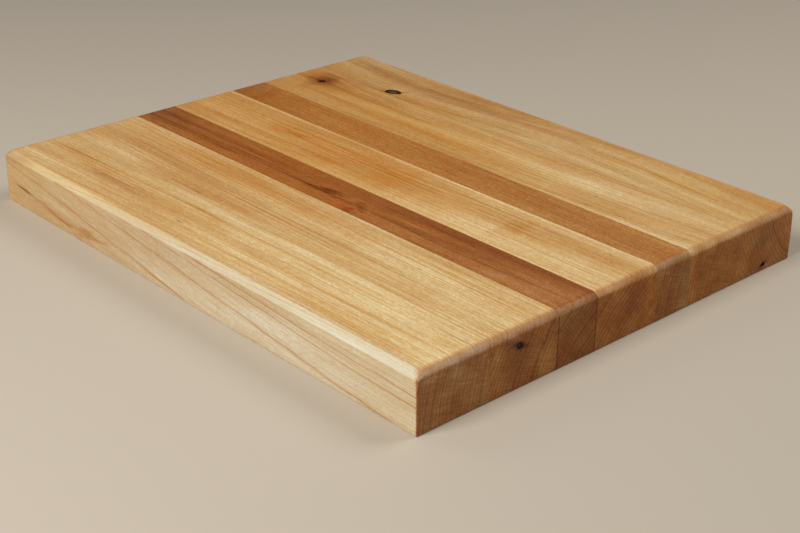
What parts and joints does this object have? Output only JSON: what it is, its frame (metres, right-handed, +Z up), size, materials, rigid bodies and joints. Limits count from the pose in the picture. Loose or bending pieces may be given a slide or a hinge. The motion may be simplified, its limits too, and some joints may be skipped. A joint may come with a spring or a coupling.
{
  "type": "cutting board",
  "caption": "Rectangular edge-grain cutting board of maple and cherry staves glued side by side, flat on both faces, with chamfered top edges and small knots.",
  "frame": {"origin": "middle of the underside, the flat face that rests on the worktop", "axes": "+X along the grain and the board's longest side, +Y across the staves towards the back edge, +Z up through the thickness, from the underside to the chamfered cutting face"},
  "size_m": [0.3556, 0.2794, 0.0318],
  "materials": {
    "maple": "satin oil",
    "cherry": "satin oil",
    "glue": "cured wood glue, flush with the wood",
    "knot": "satin oil"
  },
  "bodies": {
    "root": {"maple_stave_1": "maple", "maple_stave_2": "maple", "cherry_stave_1": "cherry", "maple_stave_3": "maple", "cherry_stave_2": "cherry", "maple_stave_4": "maple", "maple_stave_5": "maple", "glue_line_1": "glue", "glue_line_2": "glue", "glue_line_3": "glue", "glue_line_4": "glue", "glue_line_5": "glue", "glue_line_6": "glue", "top_knot": "knot", "end_knot": "knot"}
  },
  "joints": []
}
